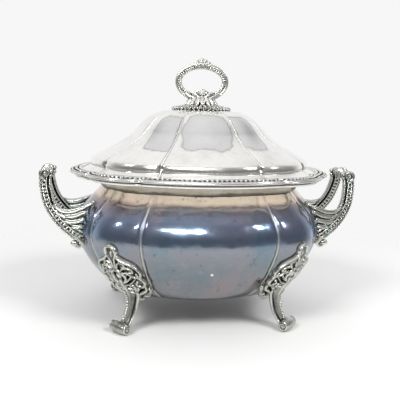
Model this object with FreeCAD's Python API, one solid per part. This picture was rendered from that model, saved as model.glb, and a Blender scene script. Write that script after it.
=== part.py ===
"""Lobed oval soup tureen on four scroll feet, with two upswept loop handles and a lift-off lid.

Millimetres, +Z up. The origin is on the table, under the middle of the bowl; +X runs towards a handle.
Every sheet-metal shell follows one eight-lobed oval plan, which is scaled level by level.
"""
import FreeCAD
import Part
import math
import os

from FreeCAD import Vector

# ---- driving dimensions -------------------------------------------------------------------------
# The plan of the bowl at its widest level. Four creases per half part a front lobe, a diagonal lobe
# on each side and an end lobe; each lobe is an arc that stands out from the chord between creases.
FRONT_CREASE = (70.6, 97.4)
END_CREASE = (120.5, 56.1)
FRONT_BULGE = 15.6
DIAGONAL_BULGE = 9.0
END_BULGE = 18.5
MEAN_RADIUS = 125.0          # turns a share of the plan into a length, for wall offsets

BOWL_WALL = 1.3
WALL_SHARE = BOWL_WALL / MEAN_RADIUS
BASE_Z = 29.0
NECK_Z = 147.0
NECK_SHARE = 0.785

LIP_Z = 157.2                # underside of the out-turned lip that the lid rests on
LIP_TOP_Z = 160.2
LIP_SHARE = 0.965
LIP_EDGE_SHARE = 0.03        # width of the thicker edge, and depth of the step behind it
LIP_STEP = 1.2

LID_WALL = 1.2
LID_SKIRT_SHARE = 0.945      # where the sheet ends and the bead border begins
LID_EDGE_Z = 164.2
LID_TOP_Z = 229.5
LID_TOP_SHARE = 0.24

BORDER_SHARE = 1.05
BORDER_TOP_Z = 166.2
BORDER_FOOT = 1.0            # the narrower course that stands on the lip
BORDER_FOOT_SHARE = 1.038
BORDER_RAIL_SHARES = (1.0, 1.03)

BEZEL_SHARE = 0.760
BEZEL_FOOT_Z = 150.0
BEZEL_WALL = 1.2             # also the thickness of its ledge

# Profiles as (share of the plan, height), from the bottom up.
BOWL_PROFILE = [(0.42, BASE_Z), (0.60, 32.0), (0.70, 37.5), (0.80, 47.5), (0.89, 62.0), (0.962, 79.5),
                (1.0, 101.0), (0.963, 117.5), (0.878, 131.5), (0.820, 141.0), (NECK_SHARE, NECK_Z)]
LID_FLANGE = [(LID_SKIRT_SHARE, LID_EDGE_Z), (0.905, 165.5), (0.873, 168.0)]
LID_CUSHION = [(0.873, 168.0), (0.878, 172.5), (0.857, 177.5)]
LID_DOME = [(0.857, 177.5), (0.80, 181.8), (0.70, 189.3), (0.594, 198.5), (0.507, 210.5),
            (0.43, 221.0), (0.36, 227.4), (LID_TOP_SHARE, LID_TOP_Z)]

LEG_AZIMUTH = 40.5           # degrees from +X of each leg's own upright plane
LEG_PATH = [(106.0, 50.0), (101.5, 37.0), (103.0, 23.0), (109.0, 11.5), (116.0, 6.4)]   # (radius, height)
LEG_HALF_WIDTHS = [13.5, 10.5, 8.0, 6.8, 7.0]
LEG_HALF_DEPTHS = [7.5, 6.0, 5.2, 4.8, 4.6]
FOOT_RADIUS = 6.2
FOOT_WIDTH = 21.0
FOOT_ROUNDING = 1.5
FOOT_CENTRE = (117.0, 5.4)   # (radius, height); the scroll is cut flat where it stands

MOUNT_THICKNESS_SHARE = 0.05
MOUNT_OUTLINE = [(0.0, 36.5), (13.0, 43.0), (23.0, 54.0), (25.0, 67.0), (15.0, 81.0), (0.0, 93.5)]   # (y, z)

HANDLE_ROD = 5.5
HANDLE_PATH = [(122.0, 38.0, 92.0), (137.0, 38.0, 98.5), (152.0, 35.0, 111.5), (163.5, 30.5, 128.0),
               (168.5, 25.5, 146.0), (169.0, 17.0, 159.5), (169.0, 0.0, 162.5)]    # front half, y mirrored
HANDLE_BRANCH = [(149.0, 36.0, 110.0), (140.0, 34.5, 117.0), (129.0, 33.0, 121.0), (112.0, 31.0, 124.0)]
BRANCH_ROD = 4.0
HANDLE_BALL = (136.5, 38.0, 87.0)
BALL_RADIUS = 3.8
STEM_RADIUS = 2.2            # joins the ball to the rod above it
CREST_HALF = (6.5, 14.0, 7.2)
CREST_Z = 163.0

PLATE_HALF = (33.0, 22.0)
PLATE_TOP_Z = 236.5
PLATE_PROFILE = [(0.94, LID_TOP_Z), (1.0, 231.1), (0.95, 232.9), (0.6, 235.3), (0.36, PLATE_TOP_Z)]
RING_FOOT_SHARES = (0.34, 0.26)
RING_HALF = (26.1, 17.6)     # half axes of the ring's centre line
RING_CENTRE_Z = 261.0
RING_ROD = 3.7
CROWN = [(9.0, 2.4, 277.0), (9.2, 3.6, 280.5), (5.6, 2.9, 284.5), (1.8, 1.3, 288.0)]   # half axes, z
LEAF_HALF = (10.0, 3.8, 5.0)
LEAF_RISE = 3.5              # of the leaf's middle over the ring's lowest point
STUD_RADIUS = 2.4
STUD_Z = (216.0, 242.0)
WASHER_RADIUS = 8.0
WASHER_THICKNESS = 1.5
NUT_RADIUS = 6.4
NUT_HEIGHT = 5.0
RUNNING_GAP = 0.1
SPARE = 5.0                  # how far a cutting tool runs past what it cuts

OUT = "parts"


# ---- plan and lofts -----------------------------------------------------------------------------
def bulged(a, b, bulge):
    """The middle point of the arc over chord a-b that stands bulge away from the centre."""
    mx, my = (a[0] + b[0]) / 2, (a[1] + b[1]) / 2
    nx, ny = b[1] - a[1], a[0] - b[0]
    length = math.hypot(nx, ny)
    side = 1 if nx * mx + ny * my > 0 else -1
    return (mx + side * bulge * nx / length, my + side * bulge * ny / length)


def plan_arcs():
    """The eight lobes as (start, middle, end) points, anticlockwise from the end lobe at +X."""
    fx, fy = FRONT_CREASE
    ex, ey = END_CREASE
    corners = [(ex, -ey), (ex, ey), (fx, fy), (-fx, fy), (-ex, ey), (-ex, -ey), (-fx, -fy), (fx, -fy)]
    bulges = [END_BULGE, DIAGONAL_BULGE, FRONT_BULGE, DIAGONAL_BULGE] * 2
    lobes = []
    for i, bulge in enumerate(bulges):
        a, b = corners[i], corners[(i + 1) % len(corners)]
        lobes.append((a, bulged(a, b, bulge), b))
    return lobes


def plan_wire(share, z):
    """The lobed plan at a share of its full size, as one closed wire at height z."""
    edges = []
    for lobe in plan_arcs():
        points = [Vector(share * x, share * y, z) for x, y in lobe]
        edges.append(Part.Arc(*points).toShape())
    return Part.Wire(edges)


def loft(profile):
    """A closed solid through the plan at every (share, height) of a profile."""
    return Part.makeLoft([plan_wire(s, z) for s, z in profile], True, False)


def slab(share, low, high):
    """An upright prism of the plan."""
    return Part.Face(plan_wire(share, low)).extrude(Vector(0, 0, high - low))


def band(inner, outer, low, high):
    """An upright band between two shares of the plan."""
    return slab(outer, low, high).cut(slab(inner, low - SPARE, high + SPARE))


def inset(profile, wall):
    """The profile moved inwards by the wall thickness, square to itself."""
    points = [Vector(MEAN_RADIUS * s, z, 0) for s, z in profile]
    curve = Part.BSplineCurve()
    curve.interpolate(points)
    moved = []
    for p in points:
        t = curve.tangent(curve.parameter(p))[0]
        moved.append(((p.x - wall * t.y) / MEAN_RADIUS, p.y + wall * t.x))
    return moved


def rod(points, radius):
    """A round rod along a smooth curve through the points."""
    curve = Part.BSplineCurve()
    curve.interpolate(points)
    path = Part.Wire([curve.toShape()])
    start = curve.value(curve.FirstParameter)
    along = curve.tangent(curve.FirstParameter)[0]
    circle = Part.Wire([Part.Circle(start, along, radius).toShape()])
    return path.makePipeShell([circle], True, False)


def ball(centre, halves):
    """An ellipsoid with three half axes."""
    matrix = FreeCAD.Matrix()
    matrix.scale(*halves)
    matrix.move(Vector(*centre))
    return Part.makeSphere(1.0).transformGeometry(matrix)


def upright(radius, low, high):
    """A round upright bar on the middle axis."""
    return Part.makeCylinder(radius, high - low, Vector(0, 0, low))


def ellipse(a, b, z):
    """A level ellipse on the middle axis, longer along X."""
    centre = Vector(0, 0, z)
    return Part.Wire([Part.Ellipse(centre + Vector(a, 0, 0), centre + Vector(0, b, 0), centre).toShape()])


def export(name, shape):
    """Writes one node and prints what it holds."""
    shape.exportStep(os.path.join(OUT, name + ".step"))
    print(f"{name:24s} solids {len(shape.Solids)}  {shape.Volume / 1000:8.2f} cm3  valid {shape.isValid()}")


# ---- the vessel ---------------------------------------------------------------------------------
def make_bowl(outside):
    inner = inset(BOWL_PROFILE, BOWL_WALL)
    inner[-1] = (NECK_SHARE - WALL_SHARE, NECK_Z + SPARE / 10)
    return outside.cut(loft(inner))


def make_neck():
    return band(NECK_SHARE - WALL_SHARE, NECK_SHARE, NECK_Z, LIP_Z)


def make_lip():
    """The out-turned lip, with a small step behind its thicker edge."""
    lip = band(NECK_SHARE - WALL_SHARE, LIP_SHARE, LIP_Z, LIP_TOP_Z)
    step = band(NECK_SHARE + 2 * WALL_SHARE, LIP_SHARE - LIP_EDGE_SHARE, LIP_Z - SPARE, LIP_Z + LIP_STEP)
    return lip.cut(step)


# ---- legs and their mounts ----------------------------------------------------------------------
def leg_section(radius, z, half_width, half_depth, along):
    """One elliptical section of the leg, wider than deep and square to its path; the leg's plane is XZ."""
    across = Vector(0, 1, 0)
    centre = Vector(radius, 0, z)
    outline = Part.Ellipse(centre + across * half_width, centre + across.cross(along) * half_depth, centre)
    return Part.Wire([outline.toShape()])


def leg_shape():
    """The cabriole leg and its scroll foot in the XZ plane."""
    curve = Part.BSplineCurve()
    curve.interpolate([Vector(r, 0, z) for r, z in LEG_PATH])
    sections = []
    for (r, z), width, depth in zip(LEG_PATH, LEG_HALF_WIDTHS, LEG_HALF_DEPTHS):
        along = curve.tangent(curve.parameter(Vector(r, 0, z)))[0]
        sections.append(leg_section(r, z, width, depth, along))
    shaft = Part.makeLoft(sections, True, False)
    r, z = FOOT_CENTRE
    foot = Part.makeCylinder(FOOT_RADIUS, FOOT_WIDTH, Vector(r, -FOOT_WIDTH / 2, z), Vector(0, 1, 0))
    foot = foot.makeFillet(FOOT_ROUNDING, foot.Edges[:1] + foot.Edges[2:])
    side = 4 * FOOT_WIDTH
    below = Part.makeBox(side, side, FOOT_RADIUS, Vector(r - side / 2, -side / 2, -FOOT_RADIUS))
    return shaft.fuse(foot).cut(below)


def mount_blank():
    """An upright fan-shaped prism in the leg's plane, which cuts the mount out of a layer on the bowl."""
    right = [Vector(0, w, z) for w, z in MOUNT_OUTLINE]
    left = [Vector(0, -w, z) for w, z in reversed(MOUNT_OUTLINE)]
    curve = Part.BSplineCurve()
    curve.interpolate(right + left[1:-1], True)
    return Part.Face(Part.Wire([curve.toShape()])).extrude(Vector(2 * MEAN_RADIUS, 0, 0))


def grown_bowl():
    """The bowl's outside made a little larger all round, to the mounts' outer faces."""
    grown = [(s * (1 + MOUNT_THICKNESS_SHARE), z) for s, z in BOWL_PROFILE]
    grown[0] = (grown[0][0], BASE_Z - RUNNING_GAP / 10)
    return loft(grown)


def at_corner(shape, corner):
    """The shape turned from the XZ plane to one of the four legs' planes."""
    angle = {"front_right": -LEG_AZIMUTH, "back_right": LEG_AZIMUTH,
             "front_left": LEG_AZIMUTH - 180, "back_left": 180 - LEG_AZIMUTH}[corner]
    turned = shape.copy()
    turned.rotate(Vector(0, 0, 0), Vector(0, 0, 1), angle)
    return turned


# ---- handles ------------------------------------------------------------------------------------
def make_handle(outside):
    """The loop handle at +X: two rods that meet at the crest, a branch on each, and a ball at each foot."""
    front = [Vector(x, -y, z) for x, y, z in HANDLE_PATH]
    back = [Vector(x, y, z) for x, y, z in reversed(HANDLE_PATH[:-1])]
    handle = rod(front + back, HANDLE_ROD)
    for side in (-1, 1):
        handle = handle.fuse(rod([Vector(x, side * y, z) for x, y, z in HANDLE_BRANCH], BRANCH_ROD))
        x, y, z = HANDLE_BALL
        stem = Part.makeCylinder(STEM_RADIUS, 2 * HANDLE_ROD, Vector(x, side * y, z))
        handle = handle.multiFuse([Part.makeSphere(BALL_RADIUS, Vector(x, side * y, z)), stem])
    handle = handle.fuse(ball((HANDLE_PATH[-1][0], 0, CREST_Z), CREST_HALF))
    return handle.cut(outside)


# ---- the lid ------------------------------------------------------------------------------------
def stacked(skirt, profiles):
    """One solid from a skirt and the lofts that stand on it, each with its own smooth profile."""
    return skirt.multiFuse([loft(profile) for profile in profiles]).removeSplitter()


def make_lid():
    """The lid's sheet: a flange, a cushion and a dome that meet at sharp steps, hollow underneath."""
    skirt = slab(LID_SKIRT_SHARE, LID_EDGE_Z - LID_WALL, LID_EDGE_Z)
    outside = stacked(skirt, [LID_FLANGE, LID_CUSHION, LID_DOME])

    moved = inset(LID_FLANGE + LID_CUSHION[1:] + LID_DOME[1:], LID_WALL)
    moved[-1] = (LID_TOP_SHARE, LID_TOP_Z - LID_WALL)
    share, z = moved[0]
    step_a = len(LID_FLANGE)
    step_b = step_a + len(LID_CUSHION) - 1
    hollows = [moved[:step_a], moved[step_a - 1:step_b], moved[step_b - 1:]]
    inside = stacked(slab(share, z - SPARE, z), hollows)
    bore = upright(STUD_RADIUS + RUNNING_GAP, LID_TOP_Z - SPARE, LID_TOP_Z + SPARE)
    return outside.cut(inside).cut(bore)


def make_border():
    """The bead border round the lid's edge: a solid moulding with a raised rail."""
    foot_top = LIP_TOP_Z + BORDER_FOOT
    foot = band(LID_SKIRT_SHARE, BORDER_FOOT_SHARE, LIP_TOP_Z, foot_top)
    middle = band(LID_SKIRT_SHARE, BORDER_SHARE, foot_top, LID_EDGE_Z)
    rail = band(*BORDER_RAIL_SHARES, LID_EDGE_Z, BORDER_TOP_Z)
    return foot.multiFuse([middle, rail]).removeSplitter()


def make_bezel():
    """The band that drops into the neck, with an out-turned ledge that closes the lid's edge from below."""
    ledge_top = LID_EDGE_Z - LID_WALL
    upright_band = band(BEZEL_SHARE - BEZEL_WALL / MEAN_RADIUS, BEZEL_SHARE, BEZEL_FOOT_Z, ledge_top)
    ledge = band(BEZEL_SHARE, LID_SKIRT_SHARE, ledge_top - BEZEL_WALL, ledge_top)
    return upright_band.fuse(ledge).removeSplitter()


def oval(share, z):
    """The finial plate's outline at a share of its size."""
    return ellipse(share * PLATE_HALF[0], share * PLATE_HALF[1], z)


def make_plate():
    """The oval rosette under the ring."""
    rim = Part.makeLoft([oval(*level) for level in PLATE_PROFILE[:3]], True, False)
    cap = Part.makeLoft([oval(*level) for level in PLATE_PROFILE[2:]], True, False)
    return rim.fuse(cap).cut(upright(STUD_RADIUS + RUNNING_GAP, LID_TOP_Z - SPARE, PLATE_TOP_Z + SPARE))


def make_ring():
    """The oval ring, with a foot below and a crown above."""
    a, b = RING_HALF
    centre = Vector(0, 0, RING_CENTRE_Z)
    line = Part.Ellipse(centre + Vector(a, 0, 0), centre + Vector(0, 0, b), centre)
    ring = None
    for start in (0, math.pi):
        arc = line.toShape(start, start + math.pi)
        section = Part.Circle(arc.valueAt(start), arc.tangentAt(start), RING_ROD).toShape()
        half = Part.Wire([arc]).makePipeShell([Part.Wire([section])], True, True)
        ring = ring.fuse(half) if ring else half
    ring = ring.fuse(Part.makeLoft([ellipse(*level) for level in CROWN], True, False))
    lowest = RING_CENTRE_Z - b
    ring = ring.fuse(ball((0, 0, lowest + LEAF_RISE), LEAF_HALF))
    wide, narrow = RING_FOOT_SHARES
    foot = Part.makeLoft([oval(wide, PLATE_TOP_Z), oval(narrow, lowest)], True, False)
    return ring.fuse(foot).cut(upright(STUD_RADIUS, PLATE_TOP_Z - SPARE, STUD_Z[1]))


def make_fasteners():
    """The stud, washer and nut that hold the ring on the lid."""
    under = LID_TOP_Z - LID_WALL
    stud = upright(STUD_RADIUS, *STUD_Z)
    top = under - WASHER_THICKNESS
    bottom = top - NUT_HEIGHT
    bore = upright(STUD_RADIUS + RUNNING_GAP, top - SPARE, under + SPARE)
    washer = upright(WASHER_RADIUS, top, under).cut(bore)
    corners = []
    for i in range(7):
        angle = math.radians(60 * i)
        corners.append(Vector(NUT_RADIUS * math.cos(angle), NUT_RADIUS * math.sin(angle), bottom))
    nut = Part.Face(Part.makePolygon(corners)).extrude(Vector(0, 0, NUT_HEIGHT))
    nut = nut.cut(upright(STUD_RADIUS, bottom - SPARE, top + SPARE))
    return {"finial_stud": stud, "finial_washer": washer, "finial_nut": nut}


def main():
    os.makedirs(OUT, exist_ok=True)
    outside = loft(BOWL_PROFILE)
    export("bowl", make_bowl(outside))
    export("neck_band", make_neck())
    export("seat_lip", make_lip())

    grown = grown_bowl()
    layer = grown.cut(outside)
    blank = mount_blank()
    leg = leg_shape()
    for corner in ("front_left", "front_right", "back_left", "back_right"):
        export("leg_mount_" + corner, layer.common(at_corner(blank, corner)))
        export("leg_" + corner, at_corner(leg, corner).cut(grown))

    handle = make_handle(outside)
    export("handle_right", handle)
    export("handle_left", handle.mirror(Vector(0, 0, 0), Vector(1, 0, 0)))

    export("lid_dome", make_lid())
    export("lid_bead_border", make_border())
    export("lid_bezel", make_bezel())
    export("finial_plate", make_plate())
    export("finial_ring", make_ring())
    for name, shape in make_fasteners().items():
        export(name, shape)


main()
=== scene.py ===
"""The looks of a lobed, silver-plated soup tureen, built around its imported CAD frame.

Shapes are worked out in millimetres in the frame's own axes and become metres when a mesh is made.
The eight-lobed plan is the CAD model's: every sheet-metal level is that plan, scaled. Only the
dome has a plan of its own, with narrower front panels.
"""
import math

import bmesh
import bpy
import numpy as np
from mathutils import Matrix, Vector


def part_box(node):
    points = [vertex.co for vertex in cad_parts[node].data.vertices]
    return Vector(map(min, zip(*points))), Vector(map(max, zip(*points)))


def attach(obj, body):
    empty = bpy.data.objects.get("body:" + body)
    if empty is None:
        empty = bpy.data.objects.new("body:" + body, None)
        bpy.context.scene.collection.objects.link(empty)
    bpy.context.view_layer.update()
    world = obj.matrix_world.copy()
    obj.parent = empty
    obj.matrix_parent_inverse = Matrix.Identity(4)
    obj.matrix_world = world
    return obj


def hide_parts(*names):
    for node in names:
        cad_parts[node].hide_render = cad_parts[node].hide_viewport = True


MM = 0.001
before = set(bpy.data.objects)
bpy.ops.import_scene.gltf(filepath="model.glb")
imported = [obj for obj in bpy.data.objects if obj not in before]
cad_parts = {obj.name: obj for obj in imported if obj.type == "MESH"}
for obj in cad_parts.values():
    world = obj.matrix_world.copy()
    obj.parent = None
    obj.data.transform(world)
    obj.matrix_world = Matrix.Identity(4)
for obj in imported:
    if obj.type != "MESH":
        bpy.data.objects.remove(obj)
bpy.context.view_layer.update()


def cad_levels(node):
    """The heights of a CAD node's bottom and top, in mm."""
    low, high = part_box(node)
    return low[2] / MM, high[2] / MM


def cad_reach(node):
    """How far a CAD node reaches along +X, in mm."""
    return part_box(node)[1][0] / MM


# ---- driving dimensions, mm
FRONT_CREASE = (70.6, 97.4)
END_CREASE = (120.5, 56.1)
BULGES = {"front": 15.6, "diagonal": 9.0, "end": 18.5}
LID_FRONT_CREASE = (58.0, 101.2)
LID_BULGES = {"front": 11.8, "diagonal": 11.0, "end": 18.5}
SHARE_SCALE = (125.0, 1)      # turns a (share of the plan, height) into mm, for the mean radius

BASE_Z, NECK_Z = cad_levels("bowl")
SEAT_Z, SEAT_TOP_Z = cad_levels("seat_lip")
BORDER_TOP_Z = cad_levels("lid_bead_border")[1]
LID_TOP_Z = cad_levels("lid_dome")[1]
BOWL_WALL, LID_WALL, BEZEL_WALL = 1.3, 1.2, 1.2
NECK_SHARE, BEZEL_SHARE = 0.785, 0.760
NECK_INNER = NECK_SHARE - BOWL_WALL / SHARE_SCALE[0]
BEZEL_INNER = BEZEL_SHARE - BEZEL_WALL / SHARE_SCALE[0]

# (share of the plan, height), from the bottom up
BOWL_PROFILE = [
    (0.42, BASE_Z), (0.60, 31.8), (0.70, 37.0), (0.795, 47.0), (0.885, 62.0), (0.958, 79.5),
    (0.992, 92.0), (1.0, 101.0), (0.990, 110.0), (0.952, 120.0), (0.880, 131.5), (0.820, 141.0),
    (0.790, 146.4)]
LID_PROFILE = [
    (0.950, 163.8), (0.935, 164.3), (0.905, 165.6), (0.885, 167.4), (0.873, 168.8),
    (0.877, 171.6), (0.872, 174.8), (0.857, 177.6), (0.80, 182.2), (0.72, 188.4), (0.65, 193.8),
    (0.594, 198.9), (0.545, 204.6), (0.507, 210.5), (0.465, 216.6), (0.42, 221.8), (0.36, 226.6),
    (0.30, 229.0), (0.20, LID_TOP_Z)]

# ---- the plan
LOBE_KINDS = ["end", "diagonal", "front", "diagonal"] * 2
COLUMNS_PER_LOBE = 64
CREASE_SLOPE, CREASE_SOFTNESS = 0.15, 0.8
SAME_LOBE = 1e-9      # a turn that keeps a column on a crease in the lobe that starts there
NO_FILM = 3.0


def plan_lobes(front_crease, bulges):
    """Each lobe as (start angle, span, arc centre, arc radius), anticlockwise from the +X end."""
    fx, fy = front_crease
    ex, ey = END_CREASE
    corners = np.array([(ex, -ey), (ex, ey), (fx, fy), (-fx, fy)])
    corners = np.vstack([corners, -corners])
    lobes = []
    for a, b, kind in zip(corners, np.roll(corners, -1, 0), LOBE_KINDS):
        half = np.linalg.norm(b - a) / 2
        outward = np.array([b[1] - a[1], a[0] - b[0]]) / (2 * half)
        bulge = bulges[kind]
        radius = (half ** 2 + bulge ** 2) / (2 * bulge)
        start = math.atan2(a[1], a[0])
        span = (math.atan2(b[1], b[0]) - start) % (2 * math.pi)
        lobes.append((start, span, (a + b) / 2 + outward * (bulge - radius), radius))
    return lobes


LOBES = plan_lobes(FRONT_CREASE, BULGES)


def plan_at(theta, lobes=LOBES):
    """The plan's radius, and the distance from the nearest crease."""
    theta = np.asarray(theta, float)
    radius, near = np.zeros_like(theta), np.zeros_like(theta)
    for start, span, centre, arc in lobes:
        turn = (theta - start) % (2 * math.pi)
        inside = turn < span
        along = np.cos(theta) * centre[0] + np.sin(theta) * centre[1]
        r = along + np.sqrt(np.maximum(along ** 2 - centre @ centre + arc ** 2, 0))
        radius = np.where(inside, r, radius)
        near = np.where(inside, np.minimum(turn, span - turn) * r, near)
    return radius, near


def film_place(lobe, steps):
    """Where places across a lobe lie in its grey film: 0 in the middle, about 1 at the edges."""
    kind = LOBE_KINDS[lobe]
    if kind == "end":
        return np.full_like(steps, NO_FILM)
    if kind == "front":
        return 2 * steps - 1
    from_front = 1 - steps if lobe % 4 == 1 else steps
    return (from_front - 0.25) / 0.45


class Plan:
    """The plan sampled at angles all round that crowd towards the creases."""

    def __init__(self, lobes):
        steps = (1 - np.cos(np.pi * np.arange(COLUMNS_PER_LOBE) / COLUMNS_PER_LOBE)) / 2
        self.theta = np.concatenate([start + span * steps for start, span, _, _ in lobes])
        radius, self.near = plan_at(self.theta + SAME_LOBE, lobes)
        self.cosines = np.stack([np.cos(self.theta), np.sin(self.theta)], -1)
        softened = np.sqrt(self.near ** 2 + CREASE_SOFTNESS ** 2)
        self.radius = radius + CREASE_SLOPE * (softened - self.near)
        self.across = np.concatenate([film_place(i, steps) for i in range(len(lobes))])


BODY_PLAN = Plan(LOBES)
LID_PLAN = Plan(plan_lobes(LID_FRONT_CREASE, LID_BULGES))


# ---- curves and meshes
CURVE_STEPS = 24      # between two points that a curve goes through
WELD = 1e-7           # metres


def run_along(points):
    """The length run at each point of a line."""
    steps = np.linalg.norm(np.diff(points, axis=0), axis=1)
    return np.concatenate([[0], np.cumsum(steps)])


def spread(values, count):
    """Values at even places along a line, filled in to a count of places."""
    return np.interp(np.linspace(0, 1, count), np.linspace(0, 1, len(values)), values)


def smooth_curve(points, count, closed=False):
    """A Catmull-Rom curve through the points, sampled evenly along its length."""
    p = np.asarray(points, float)
    if closed:
        p = np.vstack([p[-1], p, p[0], p[1]])
    else:
        p = np.vstack([2 * p[0] - p[1], p, 2 * p[-1] - p[-2]])
    fine = []
    t = np.linspace(0, 1, CURVE_STEPS, endpoint=False)[:, None]
    for a, b, c, d in zip(p[:-3], p[1:-2], p[2:-1], p[3:]):
        fine.append(0.5 * (2 * b + (c - a) * t + (2 * a - 5 * b + 4 * c - d) * t ** 2
                           + (3 * b - a - 3 * c + d) * t ** 3))
    fine = np.vstack(fine + [p[-2][None]])
    run = run_along(fine)
    wanted = np.linspace(0, run[-1], count, endpoint=not closed)
    return np.stack([np.interp(wanted, run, fine[:, k]) for k in range(p.shape[1])], -1)


def inset(profile, wall):
    """The profile moved inwards by a wall thickness, square to itself."""
    p = profile * SHARE_SCALE
    tangent = np.gradient(p, axis=0)
    tangent /= np.linalg.norm(tangent, axis=1)[:, None]
    return (p + wall * np.stack([-tangent[:, 1], tangent[:, 0]], -1)) / SHARE_SCALE


def grid_faces(rows, columns, wrap_rows=False, wrap_columns=False):
    """Quads over a grid of rows by columns of vertices."""
    r = np.arange(rows if wrap_rows else rows - 1)
    c = np.arange(columns if wrap_columns else columns - 1)
    r, c = [g.ravel() for g in np.meshgrid(r, c, indexing="ij")]
    r1, c1 = (r + 1) % rows, (c + 1) % columns
    return np.stack([r * columns + c, r * columns + c1, r1 * columns + c1, r1 * columns + c], -1)


def turns(count):
    """Even angles all round."""
    return np.arange(count) * 2 * math.pi / count


def lathe(rows, sides=48, limit=np.inf):
    """Points and faces of a form turned on the Z axis, from (radius, height) rows.

    A limit on the radius, one for each side, cuts flats.
    """
    turn = turns(sides)
    radius, height = np.array(rows, float).T[..., None]
    radius = np.minimum(radius * np.ones(sides), limit)
    height = np.repeat(height, sides, 1)
    points = np.stack([radius * np.cos(turn), radius * np.sin(turn), height], -1)
    return points.reshape(-1, 3), grid_faces(len(rows), sides, wrap_columns=True)


def new_mesh(name, points, faces):
    """A mesh from points in mm."""
    mesh = bpy.data.meshes.new(name)
    mesh.from_pydata((np.asarray(points) * MM).tolist(), [], np.asarray(faces).tolist())
    return mesh


def new_object(name, data):
    """An object of the scene from its data."""
    made = bpy.data.objects.new(name, data)
    bpy.context.scene.collection.objects.link(made)
    return made


def make_object(name, points, faces, material, attributes=None):
    """A smooth-shaded mesh object from points in mm, welded and with its normals outwards."""
    mesh = new_mesh(name, points, faces)
    for key, values in (attributes or {}).items():
        data = mesh.attributes.new(key, "FLOAT", "POINT").data
        data.foreach_set("value", np.asarray(values, np.float32).ravel())
    work = bmesh.new()
    work.from_mesh(mesh)
    bmesh.ops.remove_doubles(work, verts=work.verts, dist=WELD)
    bmesh.ops.recalc_face_normals(work, faces=work.faces)
    work.to_mesh(mesh)
    work.free()
    mesh.polygons.foreach_set("use_smooth", np.ones(len(mesh.polygons), bool))
    mesh.materials.append(material)
    return new_object(name, mesh)


# From the second of these shares to the first, the dome's own plan takes over from the body's.
BLEND_SHARES = (0.885, 0.94)
GROOVE_WIDTH, RIB_WIDTH = 2.6, 0.8


def lobed_points(profile, groove=0.0, rib=0.0, plan=BODY_PLAN):
    """Points of the plan at each (share, height), with a groove and a rib along each crease."""
    share, height = np.asarray(profile, float).T
    outline = plan.radius
    if plan is not BODY_PLAN:
        own = np.interp(share, BLEND_SHARES, (1.0, 0.0))[:, None]
        outline = own * plan.radius + (1 - own) * plan_at(plan.theta)[0]
    radius = share[:, None] * outline
    radius -= np.reshape(groove, (-1, 1)) * np.exp(-(plan.near / GROOVE_WIDTH) ** 2)
    radius += np.reshape(rib, (-1, 1)) * np.exp(-(plan.near / RIB_WIDTH) ** 2)
    points = np.empty(radius.shape + (3,))
    points[..., :2] = radius[..., None] * plan.cosines
    points[..., 2] = height[:, None]
    return points


def lobed_object(name, profile, material, groove=0.0, rib=0.0, ring=True, plan=BODY_PLAN):
    """The plan swept along a closed profile: a ring, or a shell that closes on the Z axis.

    Its attributes are the distance from a crease in cm, the place in a film, and the height in dm.
    """
    points = lobed_points(profile, groove, rib, plan)
    rows, columns = points.shape[:2]
    attributes = {"near": np.broadcast_to(plan.near, (rows, columns)) / 10,
                  "across": np.broadcast_to(plan.across, (rows, columns)),
                  "level": points[..., 2] / 100}
    faces = grid_faces(rows, columns, wrap_rows=ring, wrap_columns=True)
    return make_object(name, points.reshape(-1, 3), faces, material, attributes)


# ---- materials
class Nodes:
    """The node tree of a material or of the world, with short calls to add to it."""

    def __init__(self, owner):
        owner.use_nodes = True
        self.owner, self.tree = owner, owner.node_tree

    def fill(self, node, inputs):
        """Fill a node's inputs with numbers, colours, places or other nodes' outputs."""
        for key, value in inputs.items():
            socket = node.inputs[key]
            if isinstance(value, bpy.types.NodeSocket):
                self.tree.links.new(value, socket)
            else:
                socket.default_value = (*value, 1.0) if socket.type == "RGBA" else value

    def add(self, kind, inputs=None, **settings):
        node = self.tree.nodes.new("ShaderNode" + kind)
        for key, value in settings.items():
            setattr(node, key, value)
        self.fill(node, inputs or {})
        return node

    def attribute(self, name):
        return self.add("Attribute", attribute_name=name).outputs["Fac"]

    def position(self):
        return self.add("TexCoord").outputs["Object"]

    def noise(self, scale, detail=4.0, rough=0.55, distortion=0.0):
        return self.add("TexNoise", {
            "Scale": scale, "Detail": detail, "Roughness": rough, "Distortion": distortion,
            "Vector": self.position()}).outputs["Fac"]

    def math(self, operation, *values):
        return self.add("Math", dict(enumerate(values)), operation=operation).outputs[0]

    def times(self, a, b):
        return self.math("MULTIPLY", a, b)

    def plus(self, a, b):
        return self.math("ADD", a, b)

    def from_to(self, value, start, span):
        """How far a value has come from a start, as a share of a span."""
        return self.math("DIVIDE", self.math("SUBTRACT", value, start), span)

    def wander(self, amount, *noise):
        """Noise about zero that spans an amount."""
        return self.times(self.math("SUBTRACT", self.noise(*noise), 0.5), amount)

    def patches(self, low, high, *noise):
        """Patches of noise: 0 where it is low, 1 where it is high."""
        return self.ramp(self.noise(*noise), [(low, 0.0), (high, 1.0)])

    def step(self, value, low, high):
        """A smooth rise from 0 to 1 between two values."""
        return self.add("MapRange", {"Value": value, "From Min": low, "From Max": high},
                        interpolation_type="SMOOTHSTEP").outputs["Result"]

    def ramp(self, factor, stops, smooth=True):
        """Colours along a factor; stops are (place, colour or grey)."""
        node = self.add("ValToRGB", {"Fac": factor})
        ramp = node.color_ramp
        ramp.interpolation = "EASE" if smooth else "LINEAR"
        while len(ramp.elements) < len(stops):
            ramp.elements.new(1.0)
        for element, (place, colour) in zip(ramp.elements, stops):
            element.position = place
            element.color = (*np.broadcast_to(colour, 3), 1.0)
        return node.outputs["Color"]

    def mix(self, factor, a, b):
        return self.add("Mix", {0: factor, 6: a, 7: b}, data_type="RGBA").outputs[2]


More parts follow.
